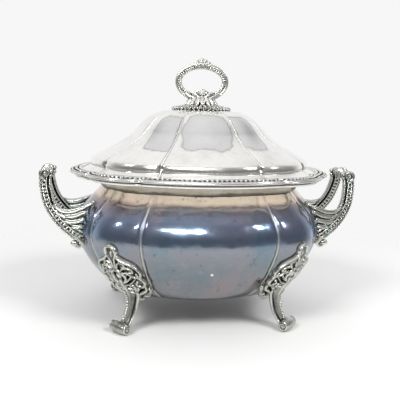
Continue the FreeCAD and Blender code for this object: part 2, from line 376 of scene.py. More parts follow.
class Surface(Nodes):
    """The nodes of a new material."""

    def __init__(self, name, metallic=1.0):
        super().__init__(bpy.data.materials.new(name))
        self.shader = self.tree.nodes["Principled BSDF"]
        self.fill(self.shader, {"Metallic": metallic})

    def finish(self, colour, roughness, height, bump):
        """The material, with its colour, its roughness and the bumps of a height."""
        bumps = self.add("Bump", {"Strength": bump, "Distance": 0.0005, "Height": height})
        self.fill(self.shader, {"Base Color": colour, "Roughness": roughness,
                                "Normal": bumps.outputs["Normal"]})
        return self.owner


PALE_SPOT = (0.0012, -0.1035, 0.0695)      # metres, low on the front panel: the middle of a small pale, matt spot
PALE_SPOT_RADIUS = 0.0016
BOWL_BASE_LEVEL, BOWL_LEVELS = 0.29, 1.19


def tarnished_material():
    """The bowl: copper-pink by the neck, a navy band above the widest level, grey-green below. The
    navy band is tarnish and painted reflection of a dark room, with a painted blue sheen; a pale
    line on each crease is a painted highlight.
    """
    n = Surface("tarnished_silver")
    level = n.plus(n.attribute("level"), n.wander(0.10, 22, 6, 0.6))
    place = n.from_to(level, BOWL_BASE_LEVEL, BOWL_LEVELS)
    # Tarnish colours by height; the navy band above the widest level also paints the reflection of
    # a dark room, and its bright blue stop is a painted sheen.
    tarnish_and_reflection_bands = n.ramp(place, [
        (0.0, (0.24, 0.235, 0.24)), (0.18, (0.30, 0.29, 0.30)), (0.40, (0.23, 0.27, 0.29)),
        (0.56, (0.21, 0.28, 0.33)), (0.64, (0.26, 0.42, 0.68)), (0.74, (0.22, 0.30, 0.50)),
        (0.84, (0.24, 0.21, 0.27)), (0.885, (0.38, 0.31, 0.29)), (0.93, (0.84, 0.69, 0.55)),
        (0.975, (0.78, 0.68, 0.56)), (0.99, (0.16, 0.13, 0.11))])
    blotch = n.ramp(n.noise(16, 7, 0.66, 0.8), [
        (0.40, (0.13, 0.20, 0.24)), (0.50, (0.22, 0.24, 0.27)), (0.60, (0.31, 0.25, 0.26))])
    colour = n.mix(0.45, tarnish_and_reflection_bands, blotch)
    dust = n.patches(0.50, 0.74, 120, 8, 0.75)
    colour = n.mix(n.times(dust, 0.30), colour, (0.42, 0.41, 0.40))
    colour = n.mix(n.ramp(place, [(0.86, 0.0), (0.93, 0.6)]), colour, tarnish_and_reflection_bands)
    speck = n.patches(0.60, 0.72, 170, 3, 0.5)
    colour = n.mix(n.times(speck, 0.35), colour, (0.10, 0.09, 0.09))
    # A pale line along each crease, up to the shoulder: a painted highlight.
    crease = n.ramp(n.attribute("near"), [(0.0, 1.0), (0.05, 0.9), (0.105, 0.0)])
    crease = n.times(crease, n.ramp(place, [(0.85, 0.85), (0.90, 0.0)]))
    colour = n.mix(crease, colour, (0.66, 0.62, 0.55))
    # A small pale, matt spot low on the front panel.
    off = n.add("VectorMath", {0: n.position(), 1: PALE_SPOT}, operation="DISTANCE")
    pale_spot = n.math("LESS_THAN", off.outputs["Value"], PALE_SPOT_RADIUS)
    colour = n.mix(pale_spot, colour, (0.95, 0.92, 0.84))
    roughness = n.ramp(n.noise(60, 6, 0.6), [(0.3, 0.09), (0.75, 0.20)])
    worn = n.ramp(n.attribute("near"), [(0.0, 0.40), (0.12, 0.30), (0.30, 0.0)])
    roughness = n.math("MAXIMUM", roughness, worn)
    roughness = n.math("MAXIMUM", roughness, n.times(pale_spot, 0.55))
    haze = n.ramp(place, [(0.30, 0.12), (0.58, 0.30), (0.66, 0.62), (0.78, 0.40), (0.90, 0.0)])
    n.fill(n.shader, {"Coat Weight": haze, "Coat Roughness": 0.36, "Coat IOR": 1.8,
                      "Coat Tint": (0.84, 0.92, 1.0)})
    dents = n.plus(n.times(n.noise(34, 2), 2.2), n.times(n.noise(220, 3), 0.03))
    return n.finish(colour, roughness, dents, 1.0)


CUSHION_LEVEL = 1.77
FILM_LEVEL, FILM_HALF_LEVEL, FILM_HALF_ACROSS = 2.08, 0.19, 0.92


def bright_material():
    """The lid: near-white silver, with a grey film on each panel that has a darker outline, and a
    painted highlight along each crease above the cushion.
    """
    n = Surface("bright_silver")
    up = n.from_to(n.attribute("level"), FILM_LEVEL, FILM_HALF_LEVEL)
    half = n.plus(n.times(up, 0.18), FILM_HALF_ACROSS)
    side = n.math("ABSOLUTE", n.math("DIVIDE", n.attribute("across"), half))
    reach = n.math("SQRT", n.plus(n.math("POWER", up, 4.0), n.math("POWER", side, 4.0)))
    reach = n.plus(reach, n.wander(1.5, 24, 6, 0.62))
    film = n.ramp(reach, [
        (0.0, (0.75, 0.75, 0.74)), (0.70, (0.71, 0.71, 0.705)), (0.80, (0.50, 0.49, 0.47)),
        (0.85, (0.80, 0.79, 0.76)), (1.0, (0.94, 0.93, 0.89))], smooth=False)
    mottle = n.patches(0.40, 0.75, 46, 7, 0.7)
    colour = n.mix(n.times(mottle, 0.38), film, (0.60, 0.59, 0.55))
    crease = n.ramp(n.attribute("near"), [(0.06, 0.0), (0.14, 0.7), (0.26, 0.0)])
    colour = n.mix(crease, colour, (0.34, 0.33, 0.31))
    # A white line along each crease above the cushion: a painted highlight.
    ridge = n.ramp(n.attribute("near"), [(0.05, 1.0), (0.10, 0.0)])
    ridge = n.times(ridge, n.math("GREATER_THAN", n.attribute("level"), CUSHION_LEVEL))
    colour = n.mix(ridge, colour, (1.0, 1.0, 0.98))
    roughness = n.ramp(n.noise(50, 6, 0.6), [(0.3, 0.14), (0.75, 0.30)])
    roughness = n.math("MAXIMUM", roughness, n.times(ridge, 0.6))
    dents = n.plus(n.times(n.noise(42, 2), 0.45), n.times(n.noise(240, 3), 0.04))
    return n.finish(colour, roughness, dents, 1.0)


SEAM_LEVEL = NECK_Z / 100 + 0.004


def rubbed_material():
    """The neck: worn plate with a brassy tint."""
    n = Surface("rubbed_silver", metallic=0.3)
    wear = n.patches(0.35, 0.7, 35, 5, 0.6, 0.5)
    colour = n.mix(wear, (1.0, 0.96, 0.84), (0.80, 0.72, 0.56))
    level = n.plus(n.attribute("level"), n.wander(0.05, 40, 5))
    seam = n.ramp(n.math("SUBTRACT", level, SEAM_LEVEL), [(0.0, 1.0), (0.022, 0.0)])
    colour = n.mix(n.times(seam, 0.85), colour, (0.10, 0.08, 0.06))
    roughness = n.ramp(n.noise(60, 6, 0.6), [(0.3, 0.34), (0.75, 0.48)])
    return n.finish(colour, roughness, n.noise(220, 3), 0.05)


def cast_material(name="cast_silver", high=(0.62, 0.63, 0.58), shift=0.12):
    """Castings: silver high points over blackened hollows, which start at a shift. On the lid's
    border the cavity values are painted shade.
    """
    n = Surface(name)
    # Blackened hollows on castings; painted shade on the lid's border.
    grime_and_shade = n.plus(n.attribute("cavity"), n.wander(0.5, 90, 5))
    colour = n.ramp(grime_and_shade, [
        (shift, high), (shift + 0.25, (0.33, 0.33, 0.30)), (shift + 0.5, (0.03, 0.03, 0.03))])
    green = n.times(n.patches(0.56, 0.66, 34, 6, 0.65), n.ramp(grime_and_shade, [(0.15, 0.0), (0.45, 0.55)]))
    colour = n.mix(green, colour, (0.22, 0.36, 0.32))
    roughness = n.ramp(grime_and_shade, [(0.15, 0.26), (0.75, 0.60)])
    return n.finish(colour, roughness, n.noise(400, 3), 0.08)


def brass_material():
    """The fasteners: aged brass, darker in blotches."""
    n = Surface("aged_brass")
    age = n.patches(0.35, 0.7, 180, 5, 0.6, 0.4)
    colour = n.mix(age, (0.62, 0.48, 0.24), (0.30, 0.23, 0.13))
    roughness = n.ramp(n.noise(240, 4), [(0.3, 0.28), (0.7, 0.5)])
    return n.finish(colour, roughness, n.noise(600, 3), 0.06)


TARNISHED = tarnished_material()
BRIGHT = bright_material()
RUBBED = rubbed_material()
CAST = cast_material()
RIM = cast_material("rim_silver", (0.76, 0.75, 0.72))
FINIAL = cast_material("finial_silver", (0.88, 0.88, 0.82), 0.40)
BRASS = brass_material()


# ---- sheet shells
CREASES_ON_BOWL = (31, 6, 138, 15)      # low level, rise, high level and fall, as in faded()
BOWL_GROOVE, BOWL_RIB = 2.1, 1.4
CREASES_ON_DOME = (177, 8, 228, 8)
DOME_GROOVE, DOME_RIB = 1.5, 1.6
CREASE_PIT, CREASE_PIT_Z = 2.6, 173.5
BOWL_ROWS, DOME_ROWS = 120, 110
FLAT_SHARE = 0.25      # of the bowl's underside
STUD_SHARE = 0.024     # the hole for the stud
FLANGE_SHARE = 0.945   # where the border and the bezel's ledge meet the flange
BEND_STEPS = 5


def place(piece, body, slot, *nodes):
    """The piece rides on a body and stands for CAD nodes, which it hides. The slot is not used."""
    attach(piece, body)
    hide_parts(*nodes)


def faded(z, low, rise, high, fall):
    """0 beyond the low and the high level and 1 between them, with a rise and a fall inside."""
    return np.clip((z - low) / rise, 0, 1) * np.clip((high - z) / fall, 0, 1)


def make_bowl():
    outer = smooth_curve(BOWL_PROFILE, BOWL_ROWS)
    inner = inset(outer, BOWL_WALL)[::-4]
    low, high = BASE_Z, BASE_Z + BOWL_WALL
    profile = np.vstack([(0.0, low), (FLAT_SHARE, low), outer, (NECK_SHARE, NECK_Z),
                         (NECK_INNER, NECK_Z), inner, (FLAT_SHARE, high), (0.0, high)])
    fade = faded(profile[:, 1], *CREASES_ON_BOWL)
    bowl = lobed_object("bowl_shell", profile, TARNISHED, BOWL_GROOVE * fade, BOWL_RIB * fade,
                        ring=False)
    place(bowl, "vessel", "tarnished_plate", "bowl")


def ring_section(corners, radius):
    """A ring's closed section: corners as (share, height), each rounded by a radius in mm."""
    p = np.asarray(corners) * SHARE_SCALE
    out = []
    for before, corner, after in zip(np.roll(p, 1, 0), p, np.roll(p, -1, 0)):
        u, v = before - corner, after - corner
        lu, lv = np.linalg.norm(u), np.linalg.norm(v)
        reach = min(radius, 0.45 * lu, 0.45 * lv)
        a, b = corner + u / lu * reach, corner + v / lv * reach
        t = np.linspace(0, 1, BEND_STEPS)[:, None]
        out.append((1 - t) ** 2 * a + 2 * t * (1 - t) * corner + t ** 2 * b)
    return np.vstack(out) / SHARE_SCALE


def make_ring(name, corners, radius, material, *where):
    """A lobed ring from its section's corners, put in its place."""
    place(lobed_object(name, ring_section(corners, radius), material), *where)


def make_neck():
    corners = [(NECK_INNER, NECK_Z), (NECK_SHARE + 0.012, NECK_Z - 0.6),
               (NECK_SHARE + 0.014, NECK_Z + 0.9), (NECK_SHARE, NECK_Z + 1.8),
               (NECK_SHARE, SEAT_Z), (NECK_INNER, SEAT_Z)]
    make_ring("neck_ring", corners, 0.7, RUBBED, "vessel", "rubbed_plate", "neck_band")


def make_seat():
    low, top = SEAT_Z, SEAT_TOP_Z
    corners = [(NECK_INNER, low), (0.86, low + 0.5), (0.955, low + 0.2), (0.962, low - 0.4),
               (1.0, low - 0.2), (1.005, top - 1.2), (0.975, top - 0.1), (NECK_INNER, top - 0.1)]
    make_ring("seat_flange", corners, 0.6, BRIGHT, "vessel", "bright_plate", "seat_lip")


def make_lid():
    outer = smooth_curve(LID_PROFILE, DOME_ROWS)
    inner = inset(outer, LID_WALL)[::-3]
    profile = np.vstack([outer, (STUD_SHARE, LID_TOP_Z), (STUD_SHARE, LID_TOP_Z - LID_WALL), inner])
    fade = faded(profile[:, 1], *CREASES_ON_DOME)
    pit = CREASE_PIT * np.exp(-((profile[:, 1] - CREASE_PIT_Z) / 3.5) ** 2)
    lid = lobed_object("lid_shell", profile, BRIGHT, DOME_GROOVE * fade + pit, DOME_RIB * fade,
                       plan=LID_PLAN)
    place(lid, "lid", "bright_plate", "lid_dome")


def make_bezel():
    """The band under the lid that drops into the neck, with its ledge."""
    low, high = cad_levels("lid_bezel")
    ledge = high - BEZEL_WALL
    corners = [(BEZEL_INNER, low), (BEZEL_SHARE, low), (BEZEL_SHARE, ledge),
               (FLANGE_SHARE, ledge), (FLANGE_SHARE, high), (BEZEL_INNER, high)]
    make_ring("bezel_band", corners, 0.4, BRIGHT, "lid", "bright_plate", "lid_bezel")


SPHERE_RINGS = 8
SPHERE_LIFT = np.linspace(0, math.pi, SPHERE_RINGS + 1)
SPHERE = lathe(np.stack([np.sin(SPHERE_LIFT), np.cos(SPHERE_LIFT)], -1), 2 * SPHERE_RINGS)
NOTCH_DEPTH = 2.2
RIM_BEADS, RIM_BEAD_RADIUS, RIM_BEAD_SHARE = 168, 1.7, 0.990


def make_border():
    """The lid's border: a bead row in a channel between plain ridges, with painted shade in the
    channel, in the outer groove and under each bead.
    """
    low, top = SEAT_TOP_Z + 0.1, BORDER_TOP_Z
    corners = [(FLANGE_SHARE, low + 0.2), (1.022, low), (1.040, low + 0.9), (1.043, low + 1.8),
               (1.040, top - 3.2), (1.033, top - 2.4), (1.028, top - 3.5), (1.022, top - 1.9),
               (1.015, top - 1.8), (1.010, top - 3.2), (0.972, top - 3.2), (0.967, top - 0.6),
               (0.950, top - 0.2), (FLANGE_SHARE, top - 1.2)]
    section = ring_section(corners, 0.5)
    points = lobed_points(section, NOTCH_DEPTH)
    rows, columns = points.shape[:2]
    share, height = section.T
    # Painted shade: dark cavity values in the channel round the beads and in the outer groove.
    channel = (height < top - 0.9) & (height > top - 3.4) & (share < 1.0125) & (share > 0.955)
    groove = (height < top - 2.9) & (height > top - 3.6) & (share > 1.0125) & (share < 1.036)
    dark = np.where(channel, 1.0, np.where(groove, 0.7, 0.1))
    faces = [grid_faces(rows, columns, wrap_rows=True, wrap_columns=True)]
    cloud, hollows = [points.reshape(-1, 3)], [np.repeat(dark, columns)]
    line = lobed_points([(RIM_BEAD_SHARE, top - 2.0)], NOTCH_DEPTH)[0]
    line = np.vstack([line, line[:1]])
    run = run_along(line)
    for i, s in enumerate(np.arange(RIM_BEADS) * run[-1] / RIM_BEADS):
        centre = [np.interp(s, run, line[:, k]) for k in range(3)]
        cloud.append(SPHERE[0] * RIM_BEAD_RADIUS + centre)
        # Painted shade: each bead darker on its lower half.
        hollows.append(np.clip(0.65 - 1.2 * SPHERE[0][:, 2], 0.0, 1.0))
        faces.append(SPHERE[1] + rows * columns + i * len(SPHERE[0]))
    border = make_object("lid_border", np.vstack(cloud), np.vstack(faces), RIM,
                         {"cavity": np.concatenate(hollows)})
    place(border, "lid", "bright_plate", "lid_bead_border")


make_bowl()
make_neck()
make_seat()
make_lid()
make_bezel()

# ---- castings: tubes, beads and swept mouldings that are fused into one skin
LEVEL = np.array([0.0, 1.0, 0.0])      # across a leg at azimuth 0, a strand and the ring
HOLLOW_ROUNDS = 14
HOLLOW_SCALE = 0.45      # mm of hollow that counts as fully black
TUBE_SIDE = (0.123, 0.95, 0.28)      # along no tube's path
TUBE_SIDES, TUBE_STEP = 14, 0.8


def unit(v):
    return v / np.linalg.norm(v, axis=-1, keepdims=True)


def turned(degrees):
    """The matrix of a turn about +Z."""
    c, s = math.cos(math.radians(degrees)), math.sin(math.radians(degrees))
    return np.array([[c, -s, 0], [s, c, 0], [0, 0, 1]])


def turned_about_y(degrees):
    """The matrix of a turn about +Y."""
    return np.roll(turned(degrees), 2, (0, 1))


class Casting:
    """Closed forms in mm that are gathered, then fused by a voxel remesh."""

    def __init__(self):
        self.points, self.faces, self.count = [], [], 0

    def add(self, points, faces):
        self.points.append(np.asarray(points, float).reshape(-1, 3))
        self.faces.append(faces + self.count)
        self.count += len(self.points[-1])

    def bead(self, centre, halves, axes=((1, 0, 0), (0, 1, 0), (0, 0, 1))):
        """A ball of a radius, or an ellipsoid with three half sizes along the rows of axes."""
        self.add(SPHERE[0] * halves @ np.asarray(axes) + centre, SPHERE[1])

    def sweep(self, path, side, sections):
        """Sections swept along a path; their columns lie along side, and square to it and path."""
        along = unit(np.gradient(path, axis=0))
        up = unit(np.cross(along, np.broadcast_to(side, path.shape)))
        side = np.cross(up, along)
        sections = np.broadcast_to(sections, (len(path),) + np.shape(sections)[-2:])
        rows = path[:, None] + sections[..., :1] * side[:, None] + sections[..., 1:] * up[:, None]
        first, last = rows[:1].mean(1, keepdims=True), rows[-1:].mean(1, keepdims=True)
        sides = rows.shape[1]
        rows = np.concatenate([np.repeat(first, sides, 1), rows, np.repeat(last, sides, 1)])
        self.add(rows, grid_faces(len(rows), sides, wrap_columns=True))

    def tube(self, points, radii, squash=1.0):
        """A round or flattened tube with rounded ends, along a smooth curve through points."""
        points = np.asarray(points, float)
        length = np.linalg.norm(np.diff(points, axis=0), axis=1).sum()
        path = smooth_curve(points, max(8, int(length / TUBE_STEP)))
        radius = spread(radii, len(path))
        turn = turns(TUBE_SIDES)
        circle = np.stack([np.cos(turn), squash * np.sin(turn)], -1)
        self.sweep(path, TUBE_SIDE, radius[:, None, None] * circle)
        ball = radius if squash > 0.8 else radius * 0.8 * (1 + squash) / 2
        for end in (0, -1):
            self.bead(path[end], ball[end])

    def mirrored(self):
        """The same casting with its mirror image across the XZ plane added."""
        self.points += [points * (1, -1, 1) for points in self.points]
        self.faces += [faces + self.count for faces in self.faces]
        self.count *= 2
        return self

    def skin(self, voxel):
        """The fused skin: points in mm, faces, and hollow: 0 on high points, 1 in recesses."""
        raw = new_object("raw", new_mesh("raw", np.vstack(self.points), np.vstack(self.faces)))
        remesh = raw.modifiers.new("remesh", "REMESH")
        remesh.mode = "VOXEL"
        remesh.voxel_size = voxel * MM
        seen = bpy.context.evaluated_depsgraph_get()
        fused = bpy.data.meshes.new_from_object(raw.evaluated_get(seen))
        bpy.data.objects.remove(raw)
        points = np.empty(3 * len(fused.vertices))
        fused.vertices.foreach_get("co", points)
        quads = np.empty(4 * len(fused.polygons), int)
        fused.polygons.foreach_get("vertices", quads)
        points, quads = points.reshape(-1, 3) / MM, quads.reshape(-1, 4)
        return points, quads, hollow(points, quads)


def hollow(points, quads):
    """How far each point lies below its smoothed surroundings, from 0 to 1."""
    start, end = quads.T.ravel(), np.roll(quads, -1, 1).T.ravel()
    count = len(points)
    near = np.bincount(start, minlength=count)
    smooth = points
    for _ in range(HOLLOW_ROUNDS):
        total = [np.bincount(start, smooth[end, k], minlength=count) for k in range(3)]
        smooth = np.stack(total, -1) / near[:, None]
    a, b, c, d = points[quads.T]
    facing = np.cross(c - a, d - b)
    normals = np.zeros_like(points)
    for k in range(3):
        for corner in quads.T:
            normals[:, k] += np.bincount(corner, facing[:, k], minlength=count)
    depth = np.einsum("ij,ij->i", smooth - points, unit(normals + 1e-12))
    return np.clip(0.35 + 0.65 * depth / HOLLOW_SCALE, 0, 1)


def cast_object(name, skin, material=CAST, matrix=np.eye(3)):
    """A cast piece from a fused skin, moved by a 3 by 3 matrix."""
    points, quads, cavity = skin
    return make_object(name, points @ matrix.T, quads, material, {"cavity": cavity})


# ---- legs
LEG_AZIMUTH = 40.5
LEG_AZIMUTHS = {"front_right": -LEG_AZIMUTH, "back_right": LEG_AZIMUTH,
                "front_left": LEG_AZIMUTH - 180, "back_left": 180 - LEG_AZIMUTH}
LEG_LINE = [(101.0, 0, 62.0), (105.5, 0, 51.0), (101.5, 0, 37.0), (103.0, 0, 23.0),
            (109.0, 0, 11.5), (115.5, 0, 6.8)]
LEG_WIDTHS = [3.5, 11.0, 10.5, 8.0, 7.2, 8.6]
LEG_DEPTHS = [3.5, 7.5, 6.3, 5.6, 5.0, 4.4]
# One half of the leg's section, as shares of its half width and half depth.
LEG_SECTION = [
    (0.0, 1.0), (0.20, 0.92), (0.30, 0.45), (0.48, 0.10), (0.68, 0.0), (0.84, 0.12), (1.0, -0.05),
    (0.94, -0.45), (0.62, -0.62), (0.30, -0.85)]
LEG_ROWS = 70
LEG_VOXEL = 0.42
TOE_CENTRE = (117.0, 6.2)
TOE_RADIUS = 6.2
TOE_HALF_WIDTH = 10.5
# Half of the toe's outline, as shares of its radius and its half width.
TOE_ROWS = [(0.0, -1.0), (0.62, -1.0), (0.86, -0.92), (0.94, -0.74), (0.93, -0.58), (0.98, -0.40),
            (1.0, 0.0)]


def both_sides(half):
    """A closed outline from one half of it, mirrored in its first column."""
    half = np.asarray(half, float)
    return np.vstack([half, half[:0:-1] * [-1, 1]])


def volute(centre, start, end, reaches, count):
    """A spiral square to Y round a centre; start and end are its angles in half turns."""
    x, y, z = centre
    turn = np.linspace(start * math.pi, end * math.pi, count)
    reach = np.linspace(*reaches, count)
    return np.stack([x + reach * np.cos(turn), np.full(count, y), z + reach * np.sin(turn)], -1)


def leg_casting():
    """A fluted leg with a beaded front ridge, on a rolled toe with a volute on each side."""
    leg = Casting()
    path = smooth_curve(LEG_LINE, LEG_ROWS)
    widths, depths = spread(LEG_WIDTHS, LEG_ROWS), spread(LEG_DEPTHS, LEG_ROWS)
    outline = smooth_curve(both_sides(LEG_SECTION), 56, closed=True)
    leg.sweep(path, LEVEL, outline * np.stack([widths, depths], -1)[:, None])

    front = np.cross(unit(np.gradient(path, axis=0)), LEVEL)
    ridge = path + front * depths[:, None]
    for i in range(12, LEG_ROWS - 6, 4):
        leg.bead(ridge[i] + 0.1 * front[i], 1.75)
    for side in (-1, 1):
        edge = path + side * LEVEL * widths[:, None] * 0.95 - front * depths[:, None] * 0.1
        leg.tube(edge[10:-8:6], (1.0, 1.3, 1.2))

    x, z = TOE_CENTRE
    points, faces = lathe(TOE_ROWS + [(r, -w) for r, w in TOE_ROWS[-2::-1]], 40)
    size = (TOE_RADIUS, TOE_HALF_WIDTH, TOE_RADIUS)
    leg.add(points[:, [0, 2, 1]] * size + (x, 0, z), faces)
    for side in (-1, 1):
        centre = (x, side * (TOE_HALF_WIDTH + 0.1), z)
        leg.tube(volute(centre, 0.5, -2.6, (TOE_RADIUS - 1.2, 1.2), 26), (1.2, 1.0, 1.0))
        leg.bead((x, side * TOE_HALF_WIDTH, z), 1.7)
    return leg


def make_legs():
    points, quads, cavity = leg_casting().skin(LEG_VOXEL)
    points[:, 2] = np.maximum(points[:, 2], 0.0)
    for corner, azimuth in LEG_AZIMUTHS.items():
        leg = cast_object("leg_" + corner + "_casting", (points, quads, cavity),
                          matrix=turned(azimuth))
        place(leg, "vessel", "cast_plate", "leg_" + corner)


# ---- leg mounts: scrolls and fronds raised from the bowl
RELIEF_STEP = 0.42
RELIEF_HALF = 29.0
RELIEF_SPAN = (-9.0, 74.0)     # distance up the bowl from the level RELIEF_ORIGIN_Z
RELIEF_ORIGIN_Z = 38.0
RELIEF_SUNK = -0.9             # where there is no ornament the skin lies inside the bowl's wall
RELIEF_BACK = RELIEF_SUNK - 0.2
RELIEF_PLATE = 1.0
RELIEF_EDGE = ((-8, 4, 18, 30, 42, 52, 62, 69), (6, 15, 23, 23.5, 22, 15.5, 7, 2))      # up, across
STROKE_STEP = 0.6
STROKE_MARGIN = 6              # mm round a stroke within which it can raise the relief
GROUND_GRIME = 0.5
# Strokes of the right half of the ornament: points (across, up), half widths and heights.
RELIEF_STROKES = [
    ([(0, -8), (0, 8), (0, 22), (0, 31)], (4.6, 3.4, 2.6, 2.2), (6.5, 7.5, 7.0, 5.5)),
    ([(0, 44), (3.6, 42.5), (6.4, 38), (6.8, 33), (4.0, 29)], (2.2, 2.2, 2.0, 1.6),
     (5.5, 5.5, 5.0, 5.5)),
    ([(0, 35), (0, 38)], (3.4, 3.0), (4.8, 4.8)),
    ([(2, 27), (7, 29.5), (11.5, 34), (14.2, 37.6), (12.6, 40.2), (9.2, 37.5)],
     (1.4, 1.6, 1.5, 1.7, 1.5, 1.2), (5.6, 5.4, 4.8, 4.6, 4.4, 4.0)),
    ([(1.6, 24), (8, 25.6), (12.6, 29.4), (16.8, 33.5)], (1.5, 1.4, 1.2, 1.0),
     (6.2, 5.4, 4.6, 3.6)),
    ([(0, 70.4), (3.4, 69.2), (5.6, 65.6), (5.2, 61.2), (3.0, 57.4), (1.6, 52), (0.9, 45)],
     (2.2, 2.2, 2.1, 1.9, 1.6, 1.5, 1.4), (4.2, 4.2, 4.0, 3.8, 4.0, 4.4, 4.6)),
    ([(0, 63.6), (0, 58.4)], (1.5, 1.1), (3.2, 2.8)),
    ([(2.4, 46), (4.2, 51), (7.4, 53.4), (10.6, 52.2), (10.8, 49.0), (8.4, 48.4)],
     (1.3, 1.5, 1.6, 1.6, 1.4, 1.5), (4.4, 4.6, 4.6, 4.6, 4.4, 4.6)),
    ([(4.2, 43), (8.6, 46.4), (13.6, 47.4), (17.2, 45.2), (16.8, 41.8), (13.8, 42.2)],
     (1.3, 1.6, 1.7, 1.7, 1.5, 1.6), (4.4, 4.8, 4.8, 4.8, 4.4, 4.6)),
    ([(6.2, 40.2), (10.4, 40.6), (14.4, 38.2), (17.6, 36.0), (20.4, 37.4), (20.2, 40.2)],
     (1.3, 1.5, 1.6, 1.5, 1.5, 1.7), (4.6, 4.6, 4.6, 4.6, 4.6, 4.8)),
    ([(4.6, 60.6), (8.4, 56.6), (13.4, 53.6), (18.6, 51.0), (22.6, 46.8), (24.2, 41.4),
      (22.6, 36.6)], (1.6, 1.9, 1.9, 2.0, 2.0, 1.9, 1.8), (4.2, 4.8, 4.6, 4.6, 4.8, 4.8, 4.6)),
    ([(19, 36), (22.8, 33.4), (23.6, 28.2), (20.8, 23.4), (16.4, 22.6), (14.4, 25.6), (16.4, 28.4)],
     (1.9, 2.1, 2.2, 2.1, 1.9, 1.7, 1.9), (4.2, 4.8, 5.2, 5.2, 4.8, 4.4, 4.2)),
    ([(21.8, 21.6), (19.8, 16.2), (14.6, 12.4), (9.4, 8.2), (6.4, 2.4)], (1.6, 2.0, 2.2, 2.2, 1.6),
     (4.2, 5.2, 5.8, 5.8, 4.6)),
    ([(3.0, 19), (7.4, 17.6), (10.6, 19.8), (9.6, 23.2), (6.6, 22.4)], (1.5, 1.7, 1.7, 1.6, 1.4),
     (6.0, 5.6, 5.2, 5.0, 4.8)),
    ([(2.8, 13.5), (7.2, 12.0), (11.2, 15.2), (13.2, 18.4)], (1.5, 1.6, 1.6, 2.2),
     (6.4, 6.0, 5.4, 5.0)),
    ([(24.2, 16.8), (22.4, 12.8), (18.4, 9.6)], (2.5, 1.9, 1.2), (4.2, 4.2, 4.0)),
    ([(16.6, 5.6), (13.2, 4.8), (9.8, 1.0), (7.8, -5.0)], (2.3, 1.8, 1.8, 1.6),
     (4.4, 4.8, 5.0, 4.6)),
]


def bowl_meridian():
    """The bowl's outline at a leg, as (distance up the bowl, share, height)."""
    line = smooth_curve(BOWL_PROFILE, 300)
    share, height = line.T
    run = run_along(line * [plan_at(math.radians(LEG_AZIMUTH))[0], 1])
    return run - np.interp(RELIEF_ORIGIN_Z, height, run), share, height


MERIDIAN = bowl_meridian()


def bowl_point(azimuth, across, up):
    """A point on the bowl's outside, from distances across and up from a leg's middle line."""
    share, height = [np.interp(up, MERIDIAN[0], row) for row in MERIDIAN[1:]]
    theta = math.radians(azimuth)
    theta = theta + across / (share * plan_at(theta)[0])
    radius = share * plan_at(theta)[0]
    return np.stack([radius * np.cos(theta), radius * np.sin(theta), height], -1)


def relief_height(across, up):
    """The ornament's height over the bowl, the same on both sides of its middle line."""
    across = np.abs(across)
    plate = across < np.interp(up, *RELIEF_EDGE) - 1.5
    height = np.where(plate, RELIEF_PLATE, RELIEF_SUNK)
    for points, widths, heights in RELIEF_STROKES:
        length = np.linalg.norm(np.diff(points, axis=0), axis=1).sum()
        line = smooth_curve(points, max(4, int(length / STROKE_STEP)))
        width, top = spread(widths, len(line)), spread(heights, len(line))
        middle, reach = line.mean(0), np.ptp(line, axis=0) / 2 + STROKE_MARGIN
        near = (np.abs(across - middle[0]) < reach[0]) & (np.abs(up - middle[1]) < reach[1])
        a, u = across[near][:, None], up[near][:, None]
        share = 1 - ((a - line[:, 0]) ** 2 + (u - line[:, 1]) ** 2) / width ** 2
        raised = RELIEF_SUNK + (top - RELIEF_SUNK) * np.sqrt(np.maximum(share, 0))
        height[near] = np.maximum(height[near], raised.max(1))
    return height


def blurred(grid, rounds):
    for _ in range(rounds):
        padded = np.pad(grid, 1, mode="edge")
        sides = padded[:-2, 1:-1] + padded[2:, 1:-1] + padded[1:-1, :-2] + padded[1:-1, 2:]
        grid = sides / 4
    return grid


def make_mounts():
    t = np.arange(-RELIEF_HALF, RELIEF_HALF + RELIEF_STEP, RELIEF_STEP)
    q = np.arange(RELIEF_SPAN[0], RELIEF_SPAN[1] + RELIEF_STEP, RELIEF_STEP)
    across, up = np.meshgrid(t, q, indexing="xy")
    height = blurred(relief_height(across, up), 1)
    cavity = np.clip(0.38 + 0.55 * (blurred(height, 40) - height) / 1.7, 0, 1)
    ground = height < RELIEF_PLATE + 0.4
    cavity = np.where(ground, np.minimum(cavity, GROUND_GRIME), cavity)
    rows, columns = across.shape
    faces = np.vstack([grid_faces(2 * rows, columns, wrap_rows=True), relief_ends(rows, columns)])
    for corner, azimuth in LEG_AZIMUTHS.items():
        skin = bowl_point(azimuth, across, up)
        normal = unit(np.cross(np.gradient(skin, axis=1), np.gradient(skin, axis=0)))
        points = np.concatenate([skin + height[..., None] * normal,
                                 (skin + RELIEF_BACK * normal)[::-1]])
        attributes = {"cavity": np.concatenate([cavity, np.ones_like(cavity)])}
        mount = make_object("mount_" + corner + "_relief", points.reshape(-1, 3), faces, CAST,
                            attributes)
        place(mount, "vessel", "cast_plate", "leg_mount_" + corner)


def relief_ends(rows, columns):
    """Quads that close the two sides of a doubled grid."""
    r = np.arange(rows - 1)
    mate = 2 * rows - 1 - r
    ends = np.stack([r, r + 1, mate - 1, mate], -1) * columns
    return np.vstack([ends, ends + columns - 1])


# ---- handles
STRAND_LINE = [(120.0, -38.2, 91.2), (128.0, -38.2, 93.6), (137.0, -38.0, 98.5),
               (152.0, -35.0, 111.5), (163.5, -29.5, 128.0), (168.5, -23.0, 146.0),
               (169.0, -19.5, 157.0)]
